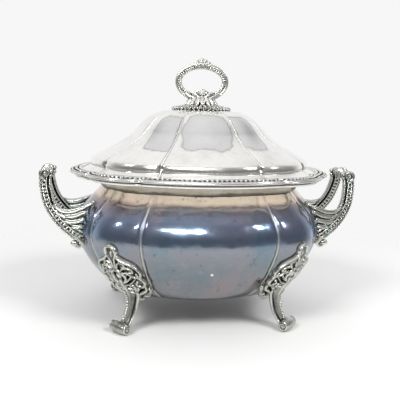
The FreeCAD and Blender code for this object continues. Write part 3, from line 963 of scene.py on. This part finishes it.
# One half of a strand's section, as (half thickness, place from the outer to the inner edge).
STRAND_SECTION = [
    (0.0, -6.3), (1.6, -6.2), (2.5, -5.6), (2.4, -4.6), (1.5, -4.2), (3.0, -3.7), (3.6, -3.0),
    (3.0, -2.3), (1.9, -1.9), (1.9, 0.4), (3.7, 0.8), (4.2, 1.4), (3.6, 2.0), (1.2, 2.5),
    (0.7, 3.3), (1.4, 4.0), (3.0, 4.4), (3.4, 5.0), (2.5, 5.7), (1.2, 6.2), (0.0, 6.3)]
BEAD_PLACE, BEAD_PITCH = -0.75, 4.1
TEETH = ((-5.4, 2.0), (5.2, 2.6))      # each row's (place, distance from the strand's middle)
TOOTH_PITCH = 3.1
CROSSBAR = (169.0, 161.5)      # (x, z)
CROSSBAR_HALF = 19.5
# Balls round the rolled end, as (along X, up, radius).
CROSSBAR_CURLS = [(-6.2, 0.4, 2.3), (-5.8, -4.4, 2.2), (5.0, -6.6, 1.9), (-2.6, -8.0, 2.0)]
STRAND_ROWS, VEIN_ROWS = 150, 18
HANDLE_VOXEL = 0.5
# Leaves that join the strand to the bowl, as (x, y, z, half width).
LEAVES = [
    [(160, -32, 126, 2.0), (151, -34, 121, 3.2), (141, -34.2, 120.4, 3.4), (129, -33, 124.0, 3.0),
     (120, -31.5, 128.5, 1.8)],
    [(156, -33.5, 119, 2.4), (146, -35, 115.0, 3.4), (136, -34.6, 116.0, 3.4),
     (126, -33.5, 119.6, 3.0), (118, -32, 119.4, 2.2)],
    [(152, -35.4, 112, 2.8), (142, -36.8, 109.4, 3.6), (133, -36.8, 110.6, 3.4),
     (127, -36, 112.4, 2.8), (123.5, -35.4, 108.8, 2.1)],
    [(144, -37.0, 105, 2.8), (136, -38.4, 104.2, 3.4), (130.0, -38.6, 105.0, 3.0),
     (127.5, -38.2, 102.4, 2.3), (130.5, -38.4, 99.8, 1.9)],
    [(139, -38.4, 97.5, 2.6), (133, -39.6, 92.6, 3.0), (129.6, -39.8, 87.6, 2.6),
     (132.4, -39.8, 83.6, 2.0), (136.4, -39.4, 84.4, 1.7)],
    [(131, -38.6, 97.5, 2.4), (127.2, -39.0, 92.0, 2.6), (124.4, -38.8, 86.2, 2.1),
     (121.8, -38.0, 82.8, 1.4)],
    [(146, -37.0, 108.0, 1.6), (147.5, -37.0, 114.0, 2.0), (153.5, -35.6, 117.6, 2.0),
     (157.0, -34.8, 121.4, 1.5)],
]
# Balls at the leaves' tips, as (x, y, z, radius).
LEAF_TIPS = [(117.6, -31.2, 130.6, 2.1), (116.4, -31.6, 122.0, 2.2), (125.5, -35.8, 106.6, 2.2),
             (121.2, -38.4, 80.6, 1.9), (139.0, -38.6, 87.6, 2.9), (132.6, -39.4, 99.4, 1.9),
             (136.5, -38.0, 87.0, 3.8)]


def row_along(path, pitch):
    """Index of the path's points nearest to even steps of a pitch."""
    run = run_along(path)
    return [int(np.argmin(abs(run - s))) for s in np.arange(pitch, run[-1] - pitch / 2, pitch)]


def add_leaf(handle, leaf):
    """A leaf with three veins on its outer side."""
    line, radii = np.split(np.array(leaf, float), [3], 1)
    radii = radii[:, 0]
    handle.tube(line, radii, squash=0.85)
    vein = smooth_curve(line, VEIN_ROWS)
    half = spread(radii, VEIN_ROWS)[:, None]
    across = unit(np.cross(unit(np.gradient(vein, axis=0)), LEVEL))
    for shift in (-0.62, 0.0, 0.62):
        lift = 0.72 - 0.3 * abs(shift)
        handle.tube(vein + half * (shift * across - lift * LEVEL), 0.34 * half[:, 0])


def add_crossbar(handle):
    """One half of the gadrooned crossbar, with a rolled end."""
    x, z = CROSSBAR
    end = -CROSSBAR_HALF
    handle.bead((x - 0.3, end - 1.0, z - 1.0), (5.6, 4.2, 5.4))
    for shift in (-3.6, -0.6, 2.4):
        curl = volute((x, end + shift, z - 1.4), -0.4, 2.3, (5.5, 1.3), 24)
        handle.tube(curl, (1.9, 1.7, 1.3))
    handle.bead((x, end - 4.2, z - 1.4), 2.1)
    for dx, dz, radius in CROSSBAR_CURLS:
        handle.bead((x + dx, end - 1.2, z + dz), radius)
    handle.tube([(x, end, z - 1.2), (x, end / 2, z - 1.6), (x, 0.5, z - 1.0)], (4.4, 3.6, 4.6))
    for y in np.arange(end + 3.5, 1.0, 3.4):
        swell = 1 + 0.45 * math.exp(-(y / 7.5) ** 2)
        handle.bead((x, y, z - 1.6 + 0.8 * (swell - 1) * 4), (4.7 * swell, 1.75, 4.9 * swell))


def handle_casting():
    """The handle at +X: two moulded strands, leaves at their roots, and a crossbar between them."""
    handle = Casting()
    path = smooth_curve(STRAND_LINE, STRAND_ROWS)
    inward = unit(np.cross(unit(np.gradient(path, axis=0)), LEVEL))
    handle.sweep(path, LEVEL, both_sides(STRAND_SECTION))
    for side in (-1, 1):
        for i in row_along(path, BEAD_PITCH):
            handle.bead(path[i] + BEAD_PLACE * inward[i] + side * 2.5 * LEVEL, 1.65)
        for i in row_along(path, TOOTH_PITCH):
            for place, aside in TEETH:
                handle.bead(path[i] + place * inward[i] + side * aside * LEVEL, (1.3, 1.15, 1.3))
    for leaf in LEAVES:
        add_leaf(handle, leaf)
    for *centre, radius in LEAF_TIPS:
        handle.bead(centre, radius)
    handle.bead((137.0, -35.0, 114.0), (17.0, 2.2, 6.5), turned_about_y(-12))
    handle.bead((133.0, -37.4, 104.0), (9.0, 2.2, 6.0), turned_about_y(-30))
    add_crossbar(handle)
    return handle.mirrored()


def kept_out_of_bowl(points):
    """Points that lie inside the bowl, moved out into its wall."""
    x, y, z = points.T
    share = np.interp(z, MERIDIAN[2], MERIDIAN[1])
    least = share * plan_at(np.arctan2(y, x))[0] - 0.8
    radius = np.hypot(x, y)
    factor = np.where((radius < least) & (z < NECK_Z), least / np.maximum(radius, 1e-6), 1.0)
    return points * np.stack([factor, factor, np.ones_like(factor)], -1)


def make_handles():
    points, quads, cavity = handle_casting().skin(HANDLE_VOXEL)
    skin = kept_out_of_bowl(points), quads, cavity
    for side, sign in (("right", 1), ("left", -1)):
        handle = cast_object("handle_" + side + "_casting", skin, matrix=np.diag((sign, 1, 1)))
        place(handle, "vessel", "cast_plate", "handle_" + side)


# ---- finial
PLATE_HALF = (33.0, 22.0)
PLATE_LOW, PLATE_TOP = cad_levels("finial_plate")
# Half of the rosette's section, as (share of its half size, share of its height).
PLATE_ROWS = [(0.0, 0.0), (0.90, 0.0), (0.93, 0.06), (0.93, 0.22), (0.86, 0.50), (0.74, 0.62),
              (0.5, 0.80), (0.3, 0.96), (0.0, 1.0)]
PLATE_GADROONS, PLATE_LEAVES = 76, 28
PLATE_VOXEL = 0.4
RING_HALF = (26.1, 17.5)
RING_CENTRE_Z = 261.0
RING_TOP = cad_levels("finial_ring")[1]
RING_SECTION = [(0.0, -3.9), (1.6, -3.7), (2.7, -2.9), (2.9, -1.9), (2.3, -0.9), (1.5, -0.4),
                (1.5, 1.6), (1.8, 2.6), (1.3, 3.4), (0.0, 3.8)]
RING_STEPS = 400
GADROON_PITCH = 2.5
# Petals of the palmette on the ring's top, as (turn in degrees, length).
PETALS = [(34, 9.0), (-34, 9.0), (66, 10.4), (-66, 10.4), (86, 13.5), (-86, 13.5)]
# Scrolls on a quarter of the ring's foot, as (x, y, height) points and half widths.
FOOT_SCROLLS = [
    ([(0, 4.4, -0.6), (4.8, 4.2, 1.4), (9.0, 3.4, 4.6), (12.6, 2.6, 6.4)], (1.8, 2.1, 2.0, 1.3)),
    ([(2, 4.8, -2.2), (8.0, 4.2, -0.8), (14.0, 3.4, 1.8), (17.8, 2.6, 4.6)], (1.8, 2.2, 2.0, 1.4))]
FOOT_LEAVES = 16
RING_VOXEL = 0.36


def oval_at(turn, share, rise):
    """A place on the rosette: on its outline's share at a turn, above its underside."""
    return np.array([share * PLATE_HALF[0] * math.cos(turn),
                     share * PLATE_HALF[1] * math.sin(turn), PLATE_LOW + rise])


def plate_casting():
    """The oval rosette: a gadrooned edge round a low dome of radiating leaves."""
    plate = Casting()
    points, faces = lathe(PLATE_ROWS, 96)
    plate.add(points * (*PLATE_HALF, PLATE_TOP - PLATE_LOW) + (0, 0, PLATE_LOW), faces)
    for i, turn in enumerate(turns(PLATE_GADROONS)):
        slope = np.array([math.cos(turn) / PLATE_HALF[0], math.sin(turn) / PLATE_HALF[1], 0])
        outward = unit(slope)
        across = np.array([-outward[1], outward[0], 0])
        plate.bead(oval_at(turn, 0.88, 3.0), (3.6, 1.05, 1.9), [outward, across, (0, 0, 1)])
        if i % 2:
            plate.bead(oval_at(turn, 0.975, 2.0), 1.3)
    for turn in turns(PLATE_LEAVES) + math.pi / PLATE_LEAVES:
        leaf = [oval_at(turn, 0.36, 6.3), oval_at(turn, 0.54, 5.6), oval_at(turn, 0.74, 4.6)]
        plate.tube(leaf, (1.0, 1.5, 1.5), squash=0.7)
    return plate


def add_palmette(ring):
    """The crown of petals on the ring's top."""
    top = RING_CENTRE_Z + RING_HALF[1] + 0.4
    ring.bead((0, 0, top + 2.4), (6.6, 2.6, 4.4))
    for angle, reach in [(0, RING_TOP - top)] + PETALS:
        axes = turned_about_y(-angle)
        x, _, z = axes[2] * reach
        ring.bead((x * 0.5, 0, top + z * 0.5 - 0.4), (2.7, 2.7, reach * 0.5), axes)
        ring.bead((x * 0.6, 0, top + z * 0.6 - 0.4), (0.9, 3.5, reach * 0.3), axes)
    ring.bead((0, 0, top + 0.6), (2.6, 4.3, 2.6))


def add_foot(ring):
    """The ring's foot: a leaf inside the ring, scrolls on both faces and leaves all round."""
    low = RING_CENTRE_Z - RING_HALF[1]
    for x, z, half in ((0, 3.6, 3.7), (3.4, 5.2, 1.5), (-3.4, 5.2, 1.5)):
        ring.bead((x, 0, low + z), (4.4, 2.8, half))
    diamond = np.array([(-6.6, 0, 6.6), (0, -0.6, 9.6), (6.6, 0, 6.6), (0, -0.6, 3.0)])
    for side in (-1, 1):
        corners = diamond + (0, side * 3.2, low)
        for a, b in zip(corners, np.roll(corners, -1, 0)):
            ring.tube(np.linspace(a, b, 4), (0.9, 0.9))
        for end in (-1, 1):
            for line, radii in FOOT_SCROLLS:
                ring.tube(np.array(line) * (end, side, 1) + (0, 0, low), radii)
    ring.bead((0, 0, low - 2.0), (15.0, 6.6, 4.6))
    for turn in turns(FOOT_LEAVES):
        c, s = math.cos(turn), math.sin(turn)
        ring.tube([(7.0 * c, 3.6 * s, low + 0.4), (12.4 * c, 7.0 * s, low - 2.4),
                   (17.0 * c, 10.6 * s, PLATE_TOP - 0.2)], (2.1, 2.9, 2.2))


def ring_casting():
    """The oval ring: a smooth rim with gadroons inside it, a palmette on top and a leafy foot."""
    ring = Casting()
    a, b = RING_HALF
    turn = np.linspace(0, 2 * math.pi + 0.1, 150)
    path = np.stack([a * np.cos(turn), 0 * turn, RING_CENTRE_Z + b * np.sin(turn)], -1)
    ring.sweep(path, LEVEL, both_sides(RING_SECTION))
    even = smooth_curve(path[:-2:3], RING_STEPS)
    for i in row_along(even, GADROON_PITCH):
        along = unit(even[min(i + 1, RING_STEPS - 1)] - even[i - 1])
        inward = np.cross(along, LEVEL)
        for side in (-1, 1):
            centre = even[i] + 1.3 * inward + side * 1.2 * LEVEL
            ring.bead(centre, (2.2, 0.95, 1.35), [inward, along, LEVEL])
    add_palmette(ring)
    add_foot(ring)
    return ring


THREAD_PITCH = 0.8
THREAD_ROOT = 0.86      # share of the stud's radius
NUT_SIDES = 72


def make_turned(name, rows, node, *lathe_settings):
    """A brass piece of the lid, from a CAD node's (radius, height) rows."""
    piece = make_object(name, *lathe(rows, *lathe_settings), BRASS)
    place(piece, "lid", "fastener", node)


def make_fasteners():
    """The stud with its thread, a rounded washer and a chamfered hexagon nut."""
    low, high = cad_levels("finial_stud")
    radius = cad_reach("finial_stud")
    rows, z = [(0.0, low), (radius * 0.8, low)], low + 0.6
    while z < high - 0.6:
        rows += [(radius, z), (radius * THREAD_ROOT, z + THREAD_PITCH / 2)]
        z += THREAD_PITCH
    rows += [(radius * 0.8, high), (0.0, high)]
    make_turned("stud_thread", rows, "finial_stud")

    low, high = cad_levels("finial_washer")
    inner, outer, edge = radius + 0.1, cad_reach("finial_washer"), 0.35
    rows = [(inner, low), (outer - edge, low), (outer, low + edge), (outer, high - edge),
            (outer - edge, high), (inner, high), (inner, low)]
    make_turned("washer_round", rows, "finial_washer")

    low, high = cad_levels("finial_nut")
    corner = cad_reach("finial_nut")
    flat = corner * math.cos(math.pi / 6)
    rows = [(radius, low), (flat, low), (corner, low + 0.7), (corner, high - 0.3),
            (flat + 0.2, high), (radius, high), (radius, low)]
    hexagon = flat / np.cos(turns(NUT_SIDES) % (math.pi / 3) - math.pi / 6)
    make_turned("hexagon_nut", rows, "finial_nut", NUT_SIDES, hexagon)


def make_finial():
    rosette = cast_object("finial_rosette", plate_casting().skin(PLATE_VOXEL), RIM)
    place(rosette, "lid", "cast_plate", "finial_plate")
    ring = cast_object("finial_ring_casting", ring_casting().skin(RING_VOXEL), FINIAL)
    place(ring, "lid", "cast_plate", "finial_ring")
    make_fasteners()


make_border()
make_legs()
make_mounts()
make_handles()
make_finial()

# ---- stage: floor, light and camera
FLOOR_HALF = 5000.0      # mm
FLOOR_FADE = (0.26, 0.62)      # metres from the middle
BACKDROP = 0.93
# What the metal mirrors, as (height of the direction from -1 down to 1 up, brightness).
FRONT_ROOM = [(-1.0, 0.62), (-0.50, 0.50), (-0.38, 0.32), (-0.26, 0.22), (0.0, 0.19),
              (0.30, 0.25), (0.70, 0.44), (0.88, 0.88), (1.0, 1.0)]
WHITE_TENT = [(-1.0, 0.80), (0.0, 0.95), (0.5, 0.90), (1.0, 1.0)]
TENT_START = (0.05, 0.65)      # a direction's share towards the back, from room to tent
FRAME_WIDTH = 400
FOCAL = 610.7        # focal length in the same units as the frame's width
SENSOR_WIDTH = 36
AZIMUTH, ELEVATION, ROLL = math.radians(-7.86), math.radians(9.21), math.radians(1.54)
CAMERA_DISTANCE = 0.7
AIM_HEIGHT, AIM_ASIDE = 0.12825, 0.0014


def make_floor():
    """A plain pale floor that fades into the backdrop."""
    corners = [(-1, -1, 0), (1, -1, 0), (1, 1, 0), (-1, 1, 0)]
    mesh = new_mesh("floor", np.array(corners) * FLOOR_HALF, [(0, 1, 2, 3)])
    floor = new_object("floor", mesh)
    n = Surface("floor_paper", metallic=0.0)
    n.fill(n.shader, {"Base Color": (0.80, 0.795, 0.785), "Roughness": 0.8,
                      "Specular IOR Level": 0.1})
    far = n.add("VectorMath", {0: n.position()}, operation="LENGTH").outputs["Value"]
    clear = n.add("BsdfTransparent").outputs[0]
    mixed = n.add("MixShader", {0: n.step(far, *FLOOR_FADE), 1: n.shader.outputs[0], 2: clear})
    n.fill(n.tree.nodes["Material Output"], {"Surface": mixed.outputs[0]})
    mesh.materials.append(n.owner)


def make_world():
    """A pale backdrop; the metal mirrors a white tent behind it and a dim room in front."""
    world = bpy.data.worlds.new("studio")
    bpy.context.scene.world = world
    n = Nodes(world)
    split = n.add("SeparateXYZ", {0: n.add("TexCoord").outputs["Generated"]})
    height = n.add("MapRange", {"Value": split.outputs["Z"], "From Min": -1.0}).outputs[0]
    room, tent = [
        n.ramp(height, [((z + 1) / 2, (g, g, g * 1.02)) for z, g in stops], smooth=False)
        for stops in (FRONT_ROOM, WHITE_TENT)]
    mirrored = n.mix(n.step(split.outputs["Y"], *TENT_START), room, tent)
    seen = n.add("LightPath").outputs["Is Camera Ray"]
    colour = n.mix(seen, mirrored, (BACKDROP, BACKDROP, BACKDROP))
    n.fill(n.tree.nodes["Background"], {"Color": colour})


def make_light(name, place, aim, size, watts, mirrored):
    """A rectangular soft light, which only the metal mirrors or which only lights what is matt."""
    data = bpy.data.lights.new(name, "AREA")
    data.shape = "RECTANGLE"
    data.size, data.size_y = size
    data.energy = watts
    lamp = new_object(name, data)
    lamp.visible_glossy = mirrored
    lamp.visible_diffuse = not mirrored
    lamp.location = place
    lamp.rotation_euler = (Vector(aim) - Vector(place)).to_track_quat("-Z", "Y").to_euler()


def make_camera():
    data = bpy.data.cameras.new("camera")
    data.sensor_width = SENSOR_WIDTH
    data.lens = FOCAL / FRAME_WIDTH * SENSOR_WIDTH
    camera = new_object("camera", data)
    aside = Vector((math.cos(AZIMUTH), math.sin(AZIMUTH), 0))
    back = Vector((math.sin(AZIMUTH) * math.cos(ELEVATION),
                   -math.cos(AZIMUTH) * math.cos(ELEVATION), math.sin(ELEVATION)))
    camera.location = Vector((0.0, 0.0, AIM_HEIGHT)) + AIM_ASIDE * aside + CAMERA_DISTANCE * back
    turn = (-back).to_track_quat("-Z", "Y").to_matrix().to_4x4()
    camera.rotation_euler = (turn @ Matrix.Rotation(ROLL, 4, "Z")).to_euler()
    bpy.context.scene.camera = camera


make_floor()
make_world()
make_light("key", (-0.34, -1.46, 1.08), (0, 0, 0.12), (0.90, 0.15), 13, mirrored=True)
make_light("left", (-1.70, -0.56, 1.40), (0, 0, 0.12), (0.22, 0.20), 5, mirrored=True)
make_light("right", (1.30, -1.0, 1.17), (0, 0, 0.12), (0.12, 0.20), 3.2, mirrored=True)
make_light("top_left", (-0.98, -1.10, 1.35), (0, 0, 0), (0.7, 0.5), 19.5, mirrored=False)
make_light("top_right", (0.98, -1.10, 1.35), (0, 0, 0), (0.7, 0.5), 19.5, mirrored=False)
make_camera()
bpy.context.scene.view_settings.view_transform = "Standard"
